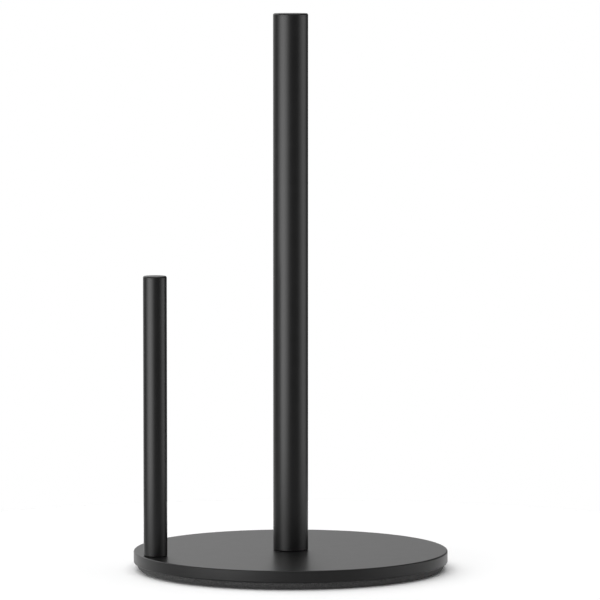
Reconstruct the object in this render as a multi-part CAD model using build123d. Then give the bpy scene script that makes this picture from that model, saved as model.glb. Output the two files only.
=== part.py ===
from build123d import *
import os

# Free-standing paper towel holder, in millimetres.
#
# A heavy round steel plate stands on a foam pad. A tall pole at its centre carries the roll, and a short
# side bar near its rim holds the loose sheet while it is torn off. Pole and bar are built alike: a thin
# steel tube with a pressed-in cap on top and a threaded plug in its foot, drawn down onto the plate by one
# countersunk screw from below. The pad sticks to the plate's underside and covers both screws.
#
# Frame: +Z up, origin at the middle of the pad's underside, on the surface that the holder stands on.
# The side bar stands on -X, so the XZ plane is a plane of symmetry.

# ---- Base: from the surface up, the pad, its adhesive film and the steel plate ----
BASE_RADIUS = 90.0
PLATE_THICKNESS = 6.9
PLATE_EDGE_ROUND = 0.8
PAD_THICKNESS = 4.0
PAD_INSET = 1.7
PAD_EDGE_ROUND = 3.9
FILM_THICKNESS = 0.2
FILM_INSET = 0.3

PAD_RADIUS = BASE_RADIUS - PAD_INSET
FILM_BOTTOM = PAD_THICKNESS
PLATE_BOTTOM = FILM_BOTTOM + FILM_THICKNESS
PLATE_TOP = PLATE_BOTTOM + PLATE_THICKNESS

# ---- Uprights ----
TUBE_WALL = 1.5
TUBE_FOOT_CHAMFER = 0.5
CAP_FLANGE = 1.5
CAP_EDGE_ROUND = 1.0
PLUG_RECESS = 0.3
LEAD_IN = 0.5

POLE = {
    "name": "pole",
    "x": 0.0,
    "radius": 10.0,
    "height": 307.1,
    "cap_spigot": 8.0,
    "plug_length": 20.0,
    "thread_radius": 4.0,
    "thread_pitch": 1.25,
    "screw_length": 20.0,
    "head_radius": 8.0,
    "clearance_radius": 4.5,
    "hex_across_flats": 5.0,
    "hex_depth": 3.0,
}
BAR = {
    "name": "bar",
    "x": -81.35,
    "radius": 6.75,
    "height": 159.4,
    "cap_spigot": 6.0,
    "plug_length": 16.0,
    "thread_radius": 3.0,
    "thread_pitch": 1.0,
    "screw_length": 16.0,
    "head_radius": 6.0,
    "clearance_radius": 3.3,
    "hex_across_flats": 4.0,
    "hex_depth": 2.4,
}

# ---- Countersunk screws: 90 degree heads, flush with the plate's underside ----
HEAD_RIM = 0.2
THREAD_DEPTH_IN_PITCHES = 0.613
THREAD_CREST_IN_PITCHES = 0.125
SCREW_TIP_CHAMFER = 0.8
HEX_SIDES = 6

BASE_UP = (Align.CENTER, Align.CENTER, Align.MIN)


def disc(radius, bottom, height):
    return Pos(0, 0, bottom) * Cylinder(radius, height, align=BASE_UP)


def cone(bottom_radius, top_radius, bottom, height):
    return Pos(0, 0, bottom) * Cone(bottom_radius, top_radius, height, align=BASE_UP)


def round_edges_at(solid, z):
    """The circular edges of a turned solid that lie at height z."""
    return solid.edges().filter_by(GeomType.CIRCLE).filter_by(lambda edge: abs(edge.center().Z - z) < 1e-6)


def foot_pad():
    """Foam disc whose side curves in under it, down to a narrower sole."""
    pad = disc(PAD_RADIUS, 0, PAD_THICKNESS)
    return fillet(round_edges_at(pad, 0), PAD_EDGE_ROUND)


def pad_adhesive():
    """Double-sided film between the pad and the plate."""
    return disc(PAD_RADIUS - FILM_INSET, FILM_BOTTOM, FILM_THICKNESS)


def screw_seat(upright):
    """The countersunk hole that an upright's screw passes through, as the metal to take away."""
    throat = upright["clearance_radius"]
    mouth = upright["head_radius"] + HEAD_RIM
    hole = disc(throat, PLATE_BOTTOM, PLATE_THICKNESS) + cone(mouth, throat, PLATE_BOTTOM, mouth - throat)
    return Pos(upright["x"], 0, 0) * hole


def base_plate():
    """Turned steel disc, its two outer edges rounded, with a screw seat under each upright."""
    plate = disc(BASE_RADIUS, PLATE_BOTTOM, PLATE_THICKNESS)
    plate = fillet(plate.edges().filter_by(GeomType.CIRCLE), PLATE_EDGE_ROUND)
    for upright in (POLE, BAR):
        plate -= screw_seat(upright)
    return plate


def bore_radius(upright):
    return upright["radius"] - TUBE_WALL


def cap_bottom(upright):
    """The height at which the tube ends and the cap's flange sits on it."""
    return PLATE_TOP + upright["height"] - CAP_FLANGE


def tube(upright):
    """Plain tube, lightly chamfered where it stands on the plate."""
    length = cap_bottom(upright) - PLATE_TOP
    outside = disc(upright["radius"], PLATE_TOP, length)
    outside = chamfer(round_edges_at(outside, PLATE_TOP), TUBE_FOOT_CHAMFER)
    return outside - disc(bore_radius(upright), PLATE_TOP, length)


def cap(upright):
    """Turned cap: a flange as wide as the tube with a rounded top edge, on a spigot that fills the bore."""
    seat = cap_bottom(upright)
    flange = disc(upright["radius"], seat, CAP_FLANGE)
    flange = fillet(round_edges_at(flange, seat + CAP_FLANGE), CAP_EDGE_ROUND)
    spigot = disc(bore_radius(upright), seat - upright["cap_spigot"], upright["cap_spigot"])
    spigot = chamfer(round_edges_at(spigot, seat - upright["cap_spigot"]), LEAD_IN)
    return flange + spigot


def threaded_plug(upright):
    """Plug pressed into the tube's foot, just short of the plate, so that the tube itself is clamped."""
    bottom = PLATE_TOP + PLUG_RECESS
    length = upright["plug_length"]
    plug = disc(bore_radius(upright), bottom, length)
    plug = chamfer(plug.edges().filter_by(GeomType.CIRCLE), LEAD_IN)
    countersink = cone(upright["thread_radius"] + LEAD_IN, upright["thread_radius"], bottom, LEAD_IN)
    return plug - disc(upright["thread_radius"], bottom, length) - countersink


def thread_outline(upright, bottom, top):
    """Radius and height of each corner of the thread's grooves, from bottom to top, one groove to a pitch."""
    crest, pitch = upright["thread_radius"], upright["thread_pitch"]
    root = crest - THREAD_DEPTH_IN_PITCHES * pitch
    land = THREAD_CREST_IN_PITCHES * pitch
    grooves = int((top - bottom) / pitch)
    points = []
    for groove in range(grooves):
        start = bottom + groove * pitch
        points += [(crest, start), (crest, start + land)]
        points += [(root, start + (land + pitch) / 2)]
    return points + [(crest, bottom + grooves * pitch)]


def screw(upright):
    """Countersunk socket screw, head down, with its thread drawn as rings of the real pitch and depth."""
    crest = upright["thread_radius"]
    rim = upright["head_radius"]
    head_top = PLATE_BOTTOM + HEAD_RIM + rim - crest
    tip = PLATE_BOTTOM + upright["screw_length"]
    outline = [(0, PLATE_BOTTOM), (rim, PLATE_BOTTOM), (rim, PLATE_BOTTOM + HEAD_RIM), (crest, head_top)]
    outline += thread_outline(upright, PLATE_TOP, tip - SCREW_TIP_CHAMFER)
    outline += [(crest, tip - SCREW_TIP_CHAMFER), (crest - SCREW_TIP_CHAMFER, tip), (0, tip)]
    corners = [(radius, 0, height) for radius, height in outline]
    turned = revolve(make_face(Polyline(corners, close=True)), Axis.Z)
    hexagon = RegularPolygon(upright["hex_across_flats"] / 2, HEX_SIDES, major_radius=False)
    return turned - extrude(Pos(0, 0, PLATE_BOTTOM) * hexagon, upright["hex_depth"])


def upright_parts(upright):
    """Every piece of one upright, by node name, at its place on the base."""
    pieces = {
        "tube": tube(upright),
        "cap": cap(upright),
        "threaded_plug": threaded_plug(upright),
        "screw": screw(upright),
    }
    place = Pos(upright["x"], 0, 0)
    return {f"{upright['name']}_{name}": place * piece for name, piece in pieces.items()}


def all_parts():
    parts = {"foot_pad": foot_pad(), "pad_adhesive": pad_adhesive(), "base_plate": base_plate()}
    for upright in (POLE, BAR):
        parts |= upright_parts(upright)
    return parts


os.makedirs("parts", exist_ok=True)
for node, shape in all_parts().items():
    export_step(shape, f"parts/{node}.step")
    print(node, round(shape.volume), "mm3")
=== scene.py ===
import math

import bmesh
import bpy
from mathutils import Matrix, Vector, noise


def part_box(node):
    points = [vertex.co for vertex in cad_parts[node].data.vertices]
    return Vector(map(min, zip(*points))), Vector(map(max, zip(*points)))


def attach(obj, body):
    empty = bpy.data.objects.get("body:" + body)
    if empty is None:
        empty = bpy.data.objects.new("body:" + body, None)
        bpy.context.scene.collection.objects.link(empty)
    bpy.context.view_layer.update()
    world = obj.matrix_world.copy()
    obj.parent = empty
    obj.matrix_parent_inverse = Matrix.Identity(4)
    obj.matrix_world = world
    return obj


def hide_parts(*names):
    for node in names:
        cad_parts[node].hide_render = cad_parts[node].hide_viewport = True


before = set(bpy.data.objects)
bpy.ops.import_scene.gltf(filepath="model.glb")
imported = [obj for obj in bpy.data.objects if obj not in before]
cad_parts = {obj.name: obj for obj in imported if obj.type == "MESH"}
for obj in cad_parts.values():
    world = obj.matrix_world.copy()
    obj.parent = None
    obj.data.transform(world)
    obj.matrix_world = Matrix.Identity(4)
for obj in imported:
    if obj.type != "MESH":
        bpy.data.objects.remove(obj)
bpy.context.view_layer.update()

# Looks of the paper towel holder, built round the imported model. Metres, +Z up, side bar on -X.
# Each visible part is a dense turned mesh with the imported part's own radii and heights. The hardware inside
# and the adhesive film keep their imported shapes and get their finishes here.

BODY = "root"
MM = 0.001

# ---- Details that a part's box doesn't give ----
PLATE_EDGE_ROUND = 0.8 * MM
PLATE_SCREWS = (
    {"screw": "pole_screw", "throat": 4.5 * MM},
    {"screw": "bar_screw", "throat": 3.3 * MM},
)
SCREW_HEAD_PLAY = 0.2 * MM
UPRIGHTS = ("pole", "bar")
TUBE_WALL = 1.5 * MM
TUBE_FOOT_ROUND = 0.5 * MM
CAP_FLANGE = 1.5 * MM
CAP_EDGE_ROUND = 1.0 * MM
SPIGOT_LEAD_IN = 0.5 * MM
SHARP_EDGE_ROUND = 0.05 * MM
PAD_EDGE_ROUND = 3.9 * MM

# ---- Mesh density and shading ----
ARC_STEPS = 6
SEGMENT_LENGTH = 1.1 * MM
FEWEST_SEGMENTS = 96
SHARP_EDGE_ANGLE = math.radians(30)
FACE_AREA_WEIGHT = 100

# ---- Foam pad: open cells on its side ----
FOAM_GRID = 0.4 * MM
FOAM_CELL = 0.9 * MM
FOAM_PIT_DEPTH = 0.16 * MM
FOAM_PIT_RADIUS_IN_CELLS = 0.45
FOAM_WAVE_LENGTH = 14 * MM
FOAM_WAVE_DEPTH = 0.12 * MM

# ---- Materials: nearly all values of a noise lie between these two ----
NOISE_LOW = 0.3
NOISE_HIGH = 0.7

# ---- Camera, in base radii and degrees: azimuth 0 is on -Y and 90 on +X ----
CAMERA_AZIMUTH = -19.4
CAMERA_DISTANCE = 29.643
CAMERA_HEIGHT = 4.0958
CAMERA_PITCH_DOWN = 4.585
CAMERA_TURN_RIGHT = 0.115
CAMERA_LENS_MM = 281.1
SENSOR_MM = 36.0
CAMERA_REACH_M = 50.0

# ---- Studio: azimuths count from the camera's, in the same sense ----
# A softbox has full power within "even" degrees of its azimuth and none past "edge". Its bottom and top are
# degrees above the horizon. Both fades below are in the sine of that height.
SOFTBOXES = (
    {"azimuth": -50, "even": 3, "edge": 50, "bottom": -32, "top": 14, "power": 8.2},
    {"azimuth": 88, "even": 3, "edge": 44, "bottom": -35, "top": 14, "power": 3.3},
    {"azimuth": -155, "even": 0, "edge": 70, "bottom": -12, "top": 20, "power": 0.97},
    {"azimuth": -143, "even": 15, "edge": 62, "bottom": 21, "top": 48, "power": 2.3},
    {"azimuth": 0, "even": 30, "edge": 90, "bottom": -35, "top": 45, "power": 0.2},
)
HEIGHT_FADE = 0.04
OVERHEAD_FADE = (0.70, 0.80)
OVERHEAD_POWER = 1.74
FLOOR_RADIUS = 0.32
FLOOR_BRIGHTNESS = 0.95
FLOOR_MOTTLE_SIZE = 0.4
FLOOR_MOTTLE = 0.004


def box_size(node):
    low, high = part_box(node)
    return high - low


def middle(node):
    low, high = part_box(node)
    return (low + high) / 2


# ------------------------------------------------------------------ meshes


def rounded_corner(before, corner, after, radius):
    """Points of the arc that takes the place of one corner of an outline."""
    to_before = (before - corner).normalized()
    to_after = (after - corner).normalized()
    half_angle = to_before.angle(to_after) / 2
    tangent = radius / math.tan(half_angle)
    centre = corner + (to_before + to_after).normalized() * (radius / math.sin(half_angle))
    start = corner + to_before * tangent - centre
    end = corner + to_after * tangent - centre
    turn = start.angle_signed(end)
    points = []
    for step in range(ARC_STEPS + 1):
        angle = -turn * step / ARC_STEPS
        x = start.x * math.cos(angle) - start.y * math.sin(angle)
        y = start.x * math.sin(angle) + start.y * math.cos(angle)
        points.append(centre + Vector((x, y)))
    return points


def outline(corners):
    """Rounds the corners (radius, height, rounding) of an outline, except those on the axis."""
    places = [Vector((radius, height)) for radius, height, _ in corners]
    count = len(corners)
    points = []
    for index, (radius, _, rounding) in enumerate(corners):
        if radius == 0:
            points.append(places[index])
        else:
            before, after = places[index - 1], places[(index + 1) % count]
            points += rounded_corner(before, places[index], after, rounding)
    return points


def turn_mesh(points, segments):
    """Bmesh of the outline turned about Z. Points on the axis close it, otherwise it closes on itself."""
    mesh = bmesh.new()
    rings = []
    for point in points:
        if point.x == 0:
            rings.append([mesh.verts.new((0, 0, point.y))] * segments)
            continue
        ring = []
        for step in range(segments):
            angle = 2 * math.pi * step / segments
            ring.append(mesh.verts.new((point.x * math.cos(angle), point.x * math.sin(angle), point.y)))
        rings.append(ring)
    pairs = list(zip(rings, rings[1:]))
    if points[0].x != 0:
        pairs.append((rings[-1], rings[0]))
    for lower, upper in pairs:
        for step in range(segments):
            following = (step + 1) % segments
            corners = (lower[step], lower[following], upper[following], upper[step])
            mesh.faces.new(list(dict.fromkeys(corners)))
    bmesh.ops.recalc_face_normals(mesh, faces=mesh.faces)
    return mesh


def segments_for(radius):
    return max(FEWEST_SEGMENTS, round(2 * math.pi * radius / SEGMENT_LENGTH))


def new_object(name, mesh, place=(0, 0)):
    """Turns a bmesh into a smooth-shaded object whose place is in its vertices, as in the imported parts."""
    bmesh.ops.translate(mesh, verts=mesh.verts, vec=(place[0], place[1], 0))
    data = bpy.data.meshes.new(name)
    mesh.to_mesh(data)
    mesh.free()
    data.shade_smooth()
    made = bpy.data.objects.new(name, data)
    bpy.context.scene.collection.objects.link(made)
    return made


def turned(name, corners, place=(0, 0)):
    widest = max(corner[0] for corner in corners)
    return new_object(name, turn_mesh(outline(corners), segments_for(widest)), place)


def keep_flats_flat(piece):
    """Shades flat faces flat right up to the small rounds at their edges."""
    modifier = piece.modifiers.new("flats", "WEIGHTED_NORMAL")
    modifier.mode = "FACE_AREA"
    modifier.weight = FACE_AREA_WEIGHT
    modifier.keep_sharp = True


def apply_modifiers(piece):
    graph = bpy.context.evaluated_depsgraph_get()
    data = bpy.data.meshes.new_from_object(piece.evaluated_get(graph))
    piece.modifiers.clear()
    piece.data = data


def install(piece, node, material):
    """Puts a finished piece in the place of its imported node."""
    piece.data.materials.clear()
    piece.data.materials.append(material)
    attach(piece, BODY)
    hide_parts(node)


# ------------------------------------------------------------------ parts


def screw_seat(seat):
    """Cutter for one countersunk hole, standing a little proud of the plate on both sides."""
    plate_low, plate_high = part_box("base_plate")
    head_radius = box_size(seat["screw"]).x / 2
    mouth = head_radius + SCREW_HEAD_PLAY
    throat = seat["throat"]
    proud = SHARP_EDGE_ROUND
    corners = (
        (0, plate_low.z - proud, 0),
        (mouth + proud, plate_low.z - proud, SHARP_EDGE_ROUND / 2),
        (throat, plate_low.z + mouth - throat, SHARP_EDGE_ROUND),
        (throat, plate_high.z + proud, SHARP_EDGE_ROUND / 2),
        (0, plate_high.z + proud, 0),
    )
    return turned("cutter", corners, middle(seat["screw"]).xy)


def steel_plate(coat):
    """Disc with rounded edges, then one countersunk hole cut for each screw."""
    low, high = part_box("base_plate")
    radius = high.x
    corners = (
        (0, low.z, 0),
        (radius, low.z, PLATE_EDGE_ROUND),
        (radius, high.z, PLATE_EDGE_ROUND),
        (0, high.z, 0),
    )
    plate = turned("steel_base", corners)
    for seat in PLATE_SCREWS:
        cutter = screw_seat(seat)
        cut = plate.modifiers.new("screw hole", "BOOLEAN")
        cut.operation = "DIFFERENCE"
        cut.solver = "EXACT"
        cut.object = cutter
        apply_modifiers(plate)
        bpy.data.objects.remove(cutter)
    plate.data.set_sharp_from_angle(angle=SHARP_EDGE_ANGLE)
    keep_flats_flat(plate)
    install(plate, "base_plate", coat)


def upright_tube(name, coat):
    """Tube of the pole or the bar, lightly rounded where it stands on the plate."""
    node = f"{name}_tube"
    low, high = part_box(node)
    radius = box_size(node).x / 2
    bore = radius - TUBE_WALL
    corners = (
        (bore, low.z, SHARP_EDGE_ROUND),
        (radius, low.z, TUBE_FOOT_ROUND),
        (radius, high.z, SHARP_EDGE_ROUND),
        (bore, high.z, SHARP_EDGE_ROUND),
    )
    piece = turned(f"{name}_upright", corners, middle(node).xy)
    keep_flats_flat(piece)
    install(piece, node, coat)


def upright_cap(name, coat):
    """Cap of the pole or the bar: a flange with a rounded top edge, on a spigot that fills the bore."""
    node = f"{name}_cap"
    low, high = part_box(node)
    radius = box_size(node).x / 2
    bore = radius - TUBE_WALL
    seat = high.z - CAP_FLANGE
    corners = (
        (0, low.z, 0),
        (bore - SPIGOT_LEAD_IN, low.z, SHARP_EDGE_ROUND),
        (bore, low.z + SPIGOT_LEAD_IN, SHARP_EDGE_ROUND),
        (bore, seat, SHARP_EDGE_ROUND),
        (radius, seat, SHARP_EDGE_ROUND),
        (radius, high.z, CAP_EDGE_ROUND),
        (0, high.z, 0),
    )
    piece = turned(f"{name}_end_cap", corners, middle(node).xy)
    keep_flats_flat(piece)
    install(piece, node, coat)


def foam_depth(place):
    """How far the foam stands back at one place: small open cells on a slight unevenness."""
    nearest = noise.voronoi(place / FOAM_CELL)[0][0]
    pit = max(0.0, 1.0 - nearest / FOAM_PIT_RADIUS_IN_CELLS)
    wave = max(0.0, noise.noise(place / FOAM_WAVE_LENGTH))
    return FOAM_PIT_DEPTH * pit + FOAM_WAVE_DEPTH * wave


def foam_foot(foam):
    """Foam disc whose grainy side curves in under it, with a clean edge against the plate."""
    low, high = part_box("foot_pad")
    radius = high.x
    core = Vector((radius - PAD_EDGE_ROUND, low.z + PAD_EDGE_ROUND))
    steps = round(math.pi / 2 * PAD_EDGE_ROUND / FOAM_GRID)
    points = [Vector((0, low.z))]
    for step in range(steps + 1):
        angle = math.pi / 2 * step / steps
        points.append(core + PAD_EDGE_ROUND * Vector((math.sin(angle), -math.cos(angle))))
    points += [Vector((radius, high.z)), Vector((0, high.z))]
    mesh = turn_mesh(points, round(2 * math.pi * radius / FOAM_GRID))
    # Each place on the side sinks straight towards the middle of the round, so the relief stays inside.
    for vertex in mesh.verts:
        reach = vertex.co.xy.length
        if reach > core.x and vertex.co.z < high.z:
            middle_of_round = vertex.co * (core.x / reach)
            middle_of_round.z = core.y
            vertex.co += (middle_of_round - vertex.co).normalized() * foam_depth(vertex.co)
    pad = new_object("foam_foot", mesh)
    install(pad, "foot_pad", foam)


# ------------------------------------------------------------------ materials


def feed(tree, socket, value):
    """Links another node's output to an input socket, or sets the socket to a plain value."""
    if isinstance(value, bpy.types.NodeSocket):
        tree.links.new(value, socket)
    else:
        socket.default_value = value


def connect(tree, node, **inputs):
    """Feeds a node. Keyword names are its inputs', with _ for a space."""
    for name, value in inputs.items():
        feed(tree, node.inputs[name.replace("_", " ")], value)


def add(tree, kind, attributes=None, **inputs):
    """Adds a node with these attributes and feeds its inputs."""
    made = tree.nodes.new(kind)
    for name, value in (attributes or {}).items():
        setattr(made, name, value)
    connect(tree, made, **inputs)
    return made


def speckle(tree, size, detail=3.0, stretch=(1, 1, 1)):
    """Noise, 0 to 1, whose grains are about size metres across."""
    place = add(tree, "ShaderNodeTexCoord").outputs["Object"]
    mapped = add(tree, "ShaderNodeMapping", Vector=place, Scale=stretch).outputs["Vector"]
    made = add(tree, "ShaderNodeTexNoise", Vector=mapped, Scale=1 / size, Detail=detail)
    return made.outputs["Fac"]


def spread(tree, value, low, high):
    """Maps noise to low..high."""
    made = add(
        tree, "ShaderNodeMapRange", {"clamp": True},
        Value=value, From_Min=NOISE_LOW, From_Max=NOISE_HIGH, To_Min=low, To_Max=high,
    )
    return made.outputs["Result"]


def two_tone(tree, value, dark, light):
    """Colour that goes from dark to light with noise."""
    ramp = add(tree, "ShaderNodeValToRGB", Fac=value)
    stops = ((NOISE_LOW, dark), (NOISE_HIGH, light))
    for element, (position, colour) in zip(ramp.color_ramp.elements, stops):
        element.position = position
        element.color = (*colour, 1)
    return ramp.outputs["Color"]


def bumped(tree, height, depth):
    """Normal of a surface whose height runs over depth metres."""
    return add(tree, "ShaderNodeBump", Height=height, Distance=depth, Strength=1.0).outputs["Normal"]


def new_material(name):
    material = bpy.data.materials.new(name)
    material.use_nodes = True
    return material, material.node_tree, material.node_tree.nodes["Principled BSDF"]


def powder_coat():
    """Satin black powder coat: fine orange peel and a slightly uneven sheen."""
    material, tree, shader = new_material("satin black powder coat")
    sheen = speckle(tree, 9 * MM, detail=4.0)
    peel = speckle(tree, 0.7 * MM, detail=2.0)
    connect(
        tree,
        shader,
        Base_Color=two_tone(tree, sheen, (0.0055, 0.0055, 0.0056), (0.0070, 0.0070, 0.0071)),
        Roughness=spread(tree, sheen, 0.335, 0.345),
        Normal=bumped(tree, peel, 0.004 * MM),
        IOR=1.31,
    )
    return material


def foam_rubber():
    """Charcoal foam whose cut cells catch the light as pale and dark grains, painted into its colour as
    highlights and shade; the same noise also gives a real bump and roughness.
    """
    material, tree, shader = new_material("charcoal foam rubber")
    grain_and_painted_shade = speckle(tree, 0.7 * MM, detail=4.0)
    connect(
        tree,
        shader,
        # Painted light and shade: the pale and dark grains in the colour stand in for lit and shaded cut
        # cells.
        Base_Color=two_tone(tree, grain_and_painted_shade, (0.014, 0.014, 0.014), (0.064, 0.064, 0.064)),
        Roughness=spread(tree, grain_and_painted_shade, 0.9, 0.75),
        Normal=bumped(tree, grain_and_painted_shade, 0.05 * MM),
        Specular_IOR_Level=0.25,
        Sheen_Weight=0.12,
        Sheen_Roughness=0.5,
    )
    return material


def adhesive():
    """Grey-brown acrylic film, slightly cloudy."""
    material, tree, shader = new_material("adhesive film")
    cloud = speckle(tree, 4 * MM, detail=3.0)
    connect(
        tree,
        shader,
        Base_Color=two_tone(tree, cloud, (0.030, 0.028, 0.025), (0.055, 0.050, 0.044)),
        Roughness=spread(tree, cloud, 0.45, 0.6),
    )
    return material


def turned_steel():
    """Bare steel with the fine rings that a lathe leaves."""
    material, tree, shader = new_material("turned steel")
    rings = speckle(tree, 0.25 * MM, detail=2.0, stretch=(0.02, 0.02, 1))
    connect(
        tree,
        shader,
        Base_Color=two_tone(tree, rings, (0.42, 0.42, 0.43), (0.56, 0.56, 0.57)),
        Roughness=spread(tree, rings, 0.28, 0.42),
        Normal=bumped(tree, rings, 0.004 * MM),
        Metallic=1.0,
    )
    return material


def zinc_plate():
    """Bright zinc plating with faint clouding."""
    material, tree, shader = new_material("bright zinc plate")
    cloud = speckle(tree, 1.8 * MM, detail=4.0)
    connect(
        tree,
        shader,
        Base_Color=two_tone(tree, cloud, (0.58, 0.60, 0.64), (0.74, 0.75, 0.77)),
        Roughness=spread(tree, cloud, 0.2, 0.34),
        Normal=bumped(tree, cloud, 0.003 * MM),
        Metallic=1.0,
    )
    return material


def pale_floor():
    """Matt white studio floor."""
    material, tree, shader = new_material("white studio floor")
    mottle = speckle(tree, FLOOR_MOTTLE_SIZE, detail=2.0)
    dark = (FLOOR_BRIGHTNESS - FLOOR_MOTTLE,) * 3
    light = (FLOOR_BRIGHTNESS,) * 3
    connect(
        tree,
        shader,
        Base_Color=two_tone(tree, mottle, dark, light),
        Roughness=1.0,
        Specular_IOR_Level=0.0,
    )
    return material


def dress(node, material):
    """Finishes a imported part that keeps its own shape."""
    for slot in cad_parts[node].material_slots:
        slot.material = material


# ------------------------------------------------------------------ studio


def heading(azimuth):
    """Level direction from the object, at an azimuth that counts from the camera's."""
    angle = math.radians(CAMERA_AZIMUTH + azimuth)
    return Vector((math.sin(angle), -math.cos(angle), 0))


def combine(tree, operation, first, second=0.0):
    """Result of a Math node on one or two values or sockets."""
    made = add(tree, "ShaderNodeMath", {"operation": operation})
    for socket, value in zip(made.inputs, (first, second)):
        feed(tree, socket, value)
    return made.outputs["Value"]


def fade(tree, value, nothing, full, power=1.0):
    """Rises smoothly from 0, where the value equals nothing, to power, where it equals full."""
    made = add(
        tree, "ShaderNodeMapRange", {"interpolation_type": "SMOOTHSTEP"},
        Value=value, From_Min=nothing, From_Max=full, To_Min=0.0, To_Max=power,
    )
    return made.outputs["Result"]


def softbox(tree, level_way, height, box):
    """Brightness of one softbox, seen in a direction given by its level part and its height."""
    facing = add(tree, "ShaderNodeVectorMath", {"operation": "DOT_PRODUCT"})
    feed(tree, facing.inputs[0], level_way)
    feed(tree, facing.inputs[1], heading(box["azimuth"]))
    off = combine(tree, "ARCCOSINE", facing.outputs["Value"])
    across = fade(tree, off, math.radians(box["edge"]), math.radians(box["even"]), box["power"])
    low, high = (math.sin(math.radians(box[end])) for end in ("bottom", "top"))
    middle_height, half_height = (low + high) / 2, (high - low) / 2
    above = combine(tree, "ABSOLUTE", combine(tree, "SUBTRACT", height, middle_height))
    up = fade(tree, above, half_height + HEIGHT_FADE, half_height - HEIGHT_FADE)
    return combine(tree, "MULTIPLY", across, up)


def studio_light():
    """Softboxes round the object and one overhead. The camera itself sees plain white behind everything."""
    world = bpy.data.worlds.new("studio")
    bpy.context.scene.world = world
    world.use_nodes = True
    tree = world.node_tree
    way = add(tree, "ShaderNodeTexCoord").outputs["Generated"]
    parts = add(tree, "ShaderNodeSeparateXYZ", Vector=way)
    level = add(tree, "ShaderNodeCombineXYZ", X=parts.outputs["X"], Y=parts.outputs["Y"]).outputs["Vector"]
    level_way = add(tree, "ShaderNodeVectorMath", {"operation": "NORMALIZE"}, Vector=level).outputs["Vector"]
    height = parts.outputs["Z"]
    total = fade(tree, height, *OVERHEAD_FADE, OVERHEAD_POWER)
    for box in SOFTBOXES:
        total = combine(tree, "ADD", total, softbox(tree, level_way, height, box))
    seen = add(tree, "ShaderNodeLightPath").outputs["Is Camera Ray"]
    lit = combine(tree, "MULTIPLY", total, combine(tree, "SUBTRACT", 1.0, seen))
    background = tree.nodes["Background"]
    connect(tree, background, Color=(1, 1, 1, 1), Strength=combine(tree, "ADD", lit, seen))


def studio_floor():
    """Round white table top, whose edge can't be told from the white background behind it."""
    mesh = bmesh.new()
    bmesh.ops.create_circle(mesh, cap_ends=True, segments=FEWEST_SEGMENTS, radius=FLOOR_RADIUS)
    floor = new_object("studio_floor", mesh)
    floor.data.materials.append(pale_floor())


def camera():
    """Long lens, a little above the pole's top, looking slightly down."""
    radius = box_size("base_plate").x / 2
    data = bpy.data.cameras.new("camera")
    data.sensor_width = SENSOR_MM
    data.lens = CAMERA_LENS_MM
    data.clip_end = CAMERA_REACH_M
    made = bpy.data.objects.new("camera", data)
    bpy.context.scene.collection.objects.link(made)
    made.location = heading(0) * CAMERA_DISTANCE * radius + Vector((0, 0, CAMERA_HEIGHT * radius))
    tilt = math.radians(90 - CAMERA_PITCH_DOWN)
    turn = math.radians(CAMERA_AZIMUTH - CAMERA_TURN_RIGHT)
    made.rotation_euler = (tilt, 0, turn)
    bpy.context.scene.camera = made


def build():
    """The whole scene: visible parts, finishes of the hidden ones, floor, light and camera."""
    coat = powder_coat()
    steel_plate(coat)
    for name in UPRIGHTS:
        upright_tube(name, coat)
        upright_cap(name, coat)
    foam_foot(foam_rubber())
    dress("pad_adhesive", adhesive())
    steel = turned_steel()
    zinc = zinc_plate()
    for name in UPRIGHTS:
        dress(f"{name}_threaded_plug", steel)
        dress(f"{name}_screw", zinc)
    studio_floor()
    studio_light()
    camera()
    bpy.context.scene.view_settings.view_transform = "Standard"


build()
